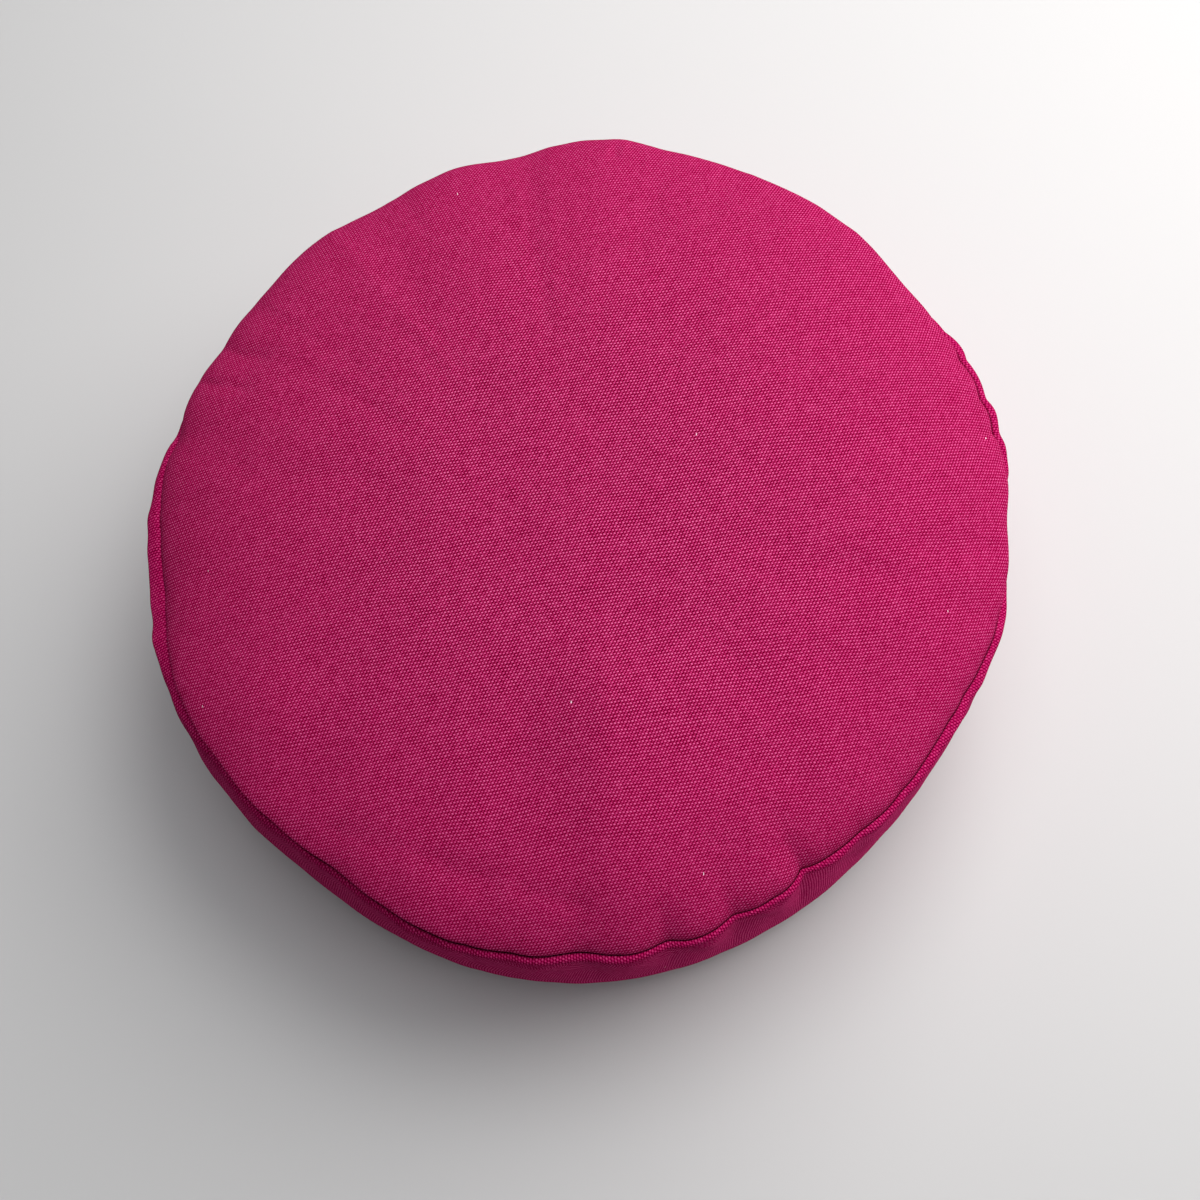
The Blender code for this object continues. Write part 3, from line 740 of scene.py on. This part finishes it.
def skin(name, rows, cloth):
    """A closed mesh through rows of (radius, height) from the top of the axis to its foot, with a point for
    each column. cloth gives the two coordinates on the flat cloth, in millimetres, of each row and column,
    and has one column more, where the cloth meets itself."""
    radius, height = split(rows[1:-1])
    points = np.stack([*ring(AZIMUTHS, radius), height], axis=-1)
    ends = [(0, 0, np.mean(rows[0][1])), (0, 0, np.mean(rows[-1][1]))]
    points = np.concatenate([points.reshape(-1, 3), ends]) * MM
    index = np.arange(radius.size).reshape(radius.shape)
    start, end = np.full(COLUMNS, radius.size), np.full(COLUMNS, radius.size + 1)
    first = np.stack([start, index[0], np.roll(index[0], -1)], axis=-1)
    last = np.stack([end, np.roll(index[-1], -1), index[-1]], axis=-1)
    mesh = bpy.data.meshes.new(name)
    mesh.from_pydata(points.tolist(), [], strips(index).tolist() + first.tolist() + last.tolist())
    mesh.validate()
    inner = cloth[1:-1]
    corners = [
        np.stack([inner[:-1, :-1], inner[1:, :-1], inner[1:, 1:], inner[:-1, 1:]], axis=2).reshape(-1, 2),
        np.stack([cloth[0, :-1], inner[0, :-1], inner[0, 1:]], axis=1).reshape(-1, 2),
        np.stack([cloth[-1, :-1], inner[-1, 1:], inner[-1, :-1]], axis=1).reshape(-1, 2),
    ]
    layer = mesh.uv_layers.new(name="cloth")
    layer.uv.foreach_set("vector", np.concatenate(corners).astype(np.float32).ravel())
    mesh.shade_smooth()
    piece = bpy.data.objects.new(name, mesh)
    bpy.context.scene.collection.objects.link(piece)
    return piece


def along_rows(rows):
    """How far each row lies along the section from the first one, for each column. The first column comes
    again at the end, where the cloth meets itself."""
    radius, height = split(rows)
    steps = np.hypot(np.diff(radius, axis=0), np.diff(height, axis=0))
    along = np.concatenate([np.zeros((1, COLUMNS)), np.cumsum(steps, axis=0)])
    return np.concatenate([along, along[:, :1]], axis=1)


def around_rows(rows):
    """How far each column lies along each row from the first one, and last the way all round."""
    radius, height = split(rows)
    points = np.stack([*ring(AZIMUTHS, np.maximum(radius, LEAST_RING)), height], axis=-1)
    steps = np.linalg.norm(np.roll(points, -1, axis=1) - points, axis=2)
    return np.concatenate([np.zeros((len(rows), 1)), np.cumsum(steps, axis=1)], axis=1)


def panel(name, face, settled):
    """A panel of canvas: its outer side and then its inner side, or under the cushion the other way round."""
    outer = face_rows(AZIMUTHS, face, 0.0, CROWN_ROWS, settled)
    inner = face_rows(AZIMUTHS, face, CLOTH, CORE_ROWS, settled)
    along = np.concatenate([along_rows(outer), along_rows(inner)[::-1]])
    direction = np.radians(np.append(AZIMUTHS, 360.0))
    cloth = np.stack([along * np.cos(direction), along * np.sin(direction)], axis=-1)
    return skin(name, (outer + inner[::-1])[:: face.sign], cloth[:: face.sign])


def band(name, settled):
    """The filled body: its wall and rolled edges show, and its two faces lie under the panels."""
    thick = 1 + LIP_UNEVENNESS * unevenness(SEAM_LENGTHS, LIP_SEED, *ring(AZIMUTHS, LOWER_SEAM_RADIUS))
    lip = edge_values(AZIMUTHS, "lip")
    upper = rolled_edge(AZIMUTHS, TOP, station_values(AZIMUTHS, "roll") * thick * lip)
    lower = rolled_edge(AZIMUTHS, BOTTOM, np.full_like(AZIMUTHS, LOWER_ROLL))
    wall = wall_rows(AZIMUTHS, upper[-1], lower[-1], settled=settled)
    crown = face_rows(AZIMUTHS, TOP, CLOTH + GAP, CORE_ROWS, settled)
    base = face_rows(AZIMUTHS, BOTTOM, CLOTH + GAP, CORE_ROWS)
    crown.append((crown[-1][0], crown[-1][1] - GAP))
    base.append((base[-1][0], base[-1][1] + GAP))
    rows = crown + upper + wall + lower[::-1] + base[::-1]
    along = along_rows(rows)
    along = along - along[len(crown)]
    around = around_rows(rows)
    around = around / around[:, -1:] * (BAND_YARNS * WARP_PITCH)
    return skin(name, rows, np.stack([around, along], axis=-1))


class Graph:
    """A material's shader nodes. A call adds nodes and joins their inputs, in the order of their sockets."""

    def __init__(self, name):
        self.material = bpy.data.materials.new(name)
        self.material.use_nodes = True
        self.tree = self.material.node_tree
        self.shader = self.tree.nodes["Principled BSDF"]

    def join(self, value, socket):
        if isinstance(value, bpy.types.NodeSocket):
            self.tree.links.new(value, socket)
        elif value is not None:
            socket.default_value = value

    def constants(self, values):
        """Sets sockets of the shader that are the same all over the surface."""
        for name, value in values:
            self.shader.inputs[name].default_value = value

    def add(self, kind, *inputs, **settings):
        node = self.tree.nodes.new("ShaderNode" + kind)
        for key, value in settings.items():
            setattr(node, key, value)
        for socket, value in zip(node.inputs, inputs):
            self.join(value, socket)
        return node

    def math(self, operation, *inputs):
        return self.add("Math", *inputs, operation=operation).outputs[0]

    def flat(self, x, y):
        return self.add("CombineXYZ", x, y, 0.0).outputs[0]

    def noise(self, x, y, length, detail=1.0):
        """(two separate noises about 0, from -1 to 1) whose features are this long."""
        node = self.add("TexNoise", self.flat(x, y), noise_dimensions="2D")
        node.inputs["Scale"].default_value = 1 / length
        node.inputs["Detail"].default_value = detail
        parts = self.add("SeparateColor", node.outputs["Color"]).outputs
        return [self.math("MULTIPLY_ADD", part, 2.0, -1.0) for part in parts[:2]]

    def shift(self, value, amount, by):
        """value + amount * by."""
        return self.math("MULTIPLY_ADD", amount, by, value)


def woven(graph, across, along, weave):
    """(height of the weave from 0 to 1, warp yarn's number, weft yarn's number), where across and along count
    yarns from one warp and one weft yarn to the next."""
    warp = graph.math("FLOOR", across)
    weft = graph.math("FLOOR", along)
    warp_side = graph.math("SUBTRACT", graph.math("SUBTRACT", across, warp), 0.5)
    weft_side = graph.math("SUBTRACT", graph.math("SUBTRACT", along, weft), 0.5)

    def yarn(side, place, other, crown, crimp):
        rounded = graph.math("MULTIPLY_ADD", graph.math("MULTIPLY", side, side), -weave.rounding, crown)
        turns = graph.math("ADD", graph.math("SUBTRACT", place, 0.5), other)
        turns = graph.shift(turns, side, TWIST)
        wave = graph.math("COSINE", graph.math("MULTIPLY", turns, math.pi))
        return graph.math("MULTIPLY_ADD", wave, crimp, rounded)

    warp_height = yarn(warp_side, along, warp, 1 - weave.warp_crimp, weave.warp_crimp)
    weft_height = yarn(weft_side, across, weft, weave.weft_crown - WEFT_CRIMP, -WEFT_CRIMP)
    return graph.math("MAXIMUM", warp_height, weft_height), warp, weft


def ramp(graph, tone, column):
    """The yarn's colour for its tone, from a column of YARN_TONES."""
    node = graph.add("ValToRGB", tone)
    stops = node.color_ramp.elements
    stops[0].position = YARN_TONES[0].at
    stops[1].position = YARN_TONES[-1].at
    for row in YARN_TONES[1:-1]:
        stops.new(row.at)
    for stop, row in zip(stops, YARN_TONES):
        stop.color = (*getattr(row, column), 1)
    return node.outputs["Color"]


def lint_at(graph, u, v):
    """1 on a few bent bits of lint, and 0 elsewhere."""
    bend = graph.noise(u, v, LINT_BEND_LENGTH)
    bent_u = graph.shift(u, bend[0], LINT_BEND)
    bent_v = graph.math("MULTIPLY", graph.shift(v, bend[1], LINT_BEND), LINT_STRETCH)
    spots = graph.add("TexVoronoi", graph.flat(bent_u, bent_v), voronoi_dimensions="2D")
    spots.inputs["Scale"].default_value = 1 / LINT_SPACING
    near = graph.math("LESS_THAN", spots.outputs["Distance"], LINT_WIDTH / LINT_SPACING)
    chosen = graph.add("SeparateColor", spots.outputs["Color"]).outputs[0]
    return graph.math("MULTIPLY", near, graph.math("LESS_THAN", chosen, LINT_SHARE))


def canvas(name, weave, column):
    """Plain-weave cotton canvas on the cloth coordinates of a skin, coloured by a column of YARN_TONES."""
    graph = Graph(name)
    place = graph.add("SeparateXYZ", graph.add("UVMap", uv_map="cloth").outputs[0]).outputs
    u, v = place[0], place[1]
    turned = math.radians(weave.grain)
    across = graph.math("MULTIPLY_ADD", u, -math.sin(turned), graph.math("MULTIPLY", v, math.cos(turned)))
    along = graph.math("MULTIPLY_ADD", u, math.cos(turned), graph.math("MULTIPLY", v, math.sin(turned)))
    for wander in YARN_WANDERS:
        off = graph.noise(u, v, wander.length)
        across = graph.shift(across, off[0], wander.reach)
        along = graph.shift(along, off[1], wander.reach)
    across = graph.math("DIVIDE", across, WARP_PITCH)
    along = graph.math("DIVIDE", along, WEFT_PITCH)
    height, warp, weft = woven(graph, across, along, weave)

    one_float = graph.add("TexWhiteNoise", graph.flat(warp, weft), noise_dimensions="2D").outputs["Value"]
    slub = graph.noise(across, graph.math("MULTIPLY", along, SLUB_STRETCH), SLUB_LENGTH)[0]
    fibre = graph.noise(u, v, FIBRE_LENGTH, FIBRE_DETAIL)[0]
    patch = graph.noise(u, v, PATCH_LENGTH, PATCH_DETAIL)[0]
    tone = graph.shift(height, graph.math("SUBTRACT", one_float, 0.5), FLOAT_CONTRAST)
    tone = graph.shift(tone, slub, SLUB_CONTRAST)
    tone = graph.shift(tone, fibre, FIBRE_CONTRAST)
    tone = graph.shift(tone, patch, PATCH_CONTRAST)
    # Painted shade: the band's rolled edge and the crease beside it are made darker, fading out down the
    # wall.
    if weave.crowding:
        painted_shade = graph.add("MapRange", v, *PAINTED_LIP_SHADE_REACH, weave.crowding, 0.0).outputs[0]
        tone = graph.math("SUBTRACT", tone, painted_shade)
    if weave.wear:
        reach = graph.math("SQRT", graph.shift(graph.math("MULTIPLY", u, u), v, v))
        worn = graph.add("MapRange", reach, *WEAR_REACH, 1.0, 1 - weave.wear).outputs[0]
        contrast = graph.math("SUBTRACT", tone, MIDDLE_TONE)
        tone = graph.math("MULTIPLY_ADD", contrast, worn, MIDDLE_TONE)

    colour = graph.add("Mix", data_type="RGBA")
    graph.join(lint_at(graph, u, v), colour.inputs["Factor"])
    graph.join(ramp(graph, tone, column), colour.inputs["A"])
    colour.inputs["B"].default_value = LINT_COLOUR
    graph.join(colour.outputs["Result"], graph.shader.inputs["Base Color"])
    bump = graph.add("Bump")
    bump.inputs["Strength"].default_value = BUMP_STRENGTH
    bump.inputs["Distance"].default_value = BUMP_DEPTH * MM
    graph.join(graph.shift(height, fibre, BUMP_FIBRE), bump.inputs["Height"])
    graph.join(bump.outputs["Normal"], graph.shader.inputs["Normal"])
    graph.constants(CANVAS_FINISH)
    return graph.material


def put_on(piece, material, node):
    piece.data.materials.append(material)
    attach(piece, "root")
    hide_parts(node)


def floor():
    corners = [(x * FLOOR_HALF, y * FLOOR_HALF, 0) for x, y in ((-1, -1), (1, -1), (1, 1), (-1, 1))]
    mesh = bpy.data.meshes.new("floor")
    mesh.from_pydata(corners, [], [(0, 1, 2, 3)])
    graph = Graph("pale_floor")
    graph.constants(FLOOR_FINISH)
    mesh.materials.append(graph.material)
    plane = bpy.data.objects.new("floor", mesh)
    plane.location.z = FLOOR_HEIGHT
    bpy.context.scene.collection.objects.link(plane)


def light_place(azimuth, elevation, distance):
    """The place at this distance from the middle of the cushion's upper seam."""
    turned, raised = math.radians(azimuth), math.radians(elevation)
    flat = math.cos(raised)
    way = Vector((flat * math.cos(turned), flat * math.sin(turned), math.sin(raised)))
    return Vector((0, 0, UPPER_SEAM_HEIGHT * MM)) + way * distance


def lights():
    for row in LIGHTS:
        data = bpy.data.lights.new(row.name, "AREA")
        data.shape = "DISK"
        data.size = row.size
        data.energy = row.watts
        data.spread = math.radians(row.spread)
        data.color = row.colour
        light = bpy.data.objects.new(row.name, data)
        light.location = light_place(row.azimuth, row.elevation, row.distance)
        away = light.location - light_place(0, 0, 0)
        light.rotation_euler = away.to_track_quat("Z", "Y").to_euler()
        bpy.context.scene.collection.objects.link(light)
    world = bpy.data.worlds.new("studio")
    world.use_nodes = True
    background = world.node_tree.nodes["Background"]
    background.inputs["Color"].default_value = WORLD_COLOUR
    background.inputs["Strength"].default_value = WORLD_STRENGTH
    bpy.context.scene.world = world
    bpy.context.scene.view_settings.view_transform = "Standard"


def camera():
    """The photograph's view: from almost overhead, turned a little about its own line of sight."""
    place = Vector(CAMERA_PLACE) * MM
    forward = (Vector(CAMERA_TARGET) * MM - place).normalized()
    level = forward.cross(Vector((0, 0, 1))).normalized()
    upright = level.cross(forward)
    roll = math.radians(CAMERA_ROLL)
    right = math.cos(roll) * level + math.sin(roll) * upright
    up = math.cos(roll) * upright - math.sin(roll) * level
    data = bpy.data.cameras.new("camera")
    data.lens = CAMERA_LENS
    data.sensor_width = CAMERA_SENSOR
    view = bpy.data.objects.new("camera", data)
    view.matrix_world = Matrix.Translation(place) @ Matrix((right, up, -forward)).transposed().to_4x4()
    bpy.context.scene.collection.objects.link(view)
    bpy.context.scene.camera = view


def main():
    camera()
    floor()
    lights()
    settled = settle()
    body = band("side_band_canvas", settled)
    put_on(body, canvas("band_canvas_weave", BAND_WEAVE, "band"), "side_band")
    panel_weave = canvas("panel_canvas_weave", PANEL_WEAVE, "panel")
    for name, node, slot, face in (
        ("top_panel_canvas", "top_panel", "top_canvas", TOP),
        ("bottom_panel_canvas", "bottom_panel", "bottom_canvas", BOTTOM),
    ):
        piece = panel(name, face, settled if face is TOP else None)
        put_on(piece, panel_weave, node)


main()
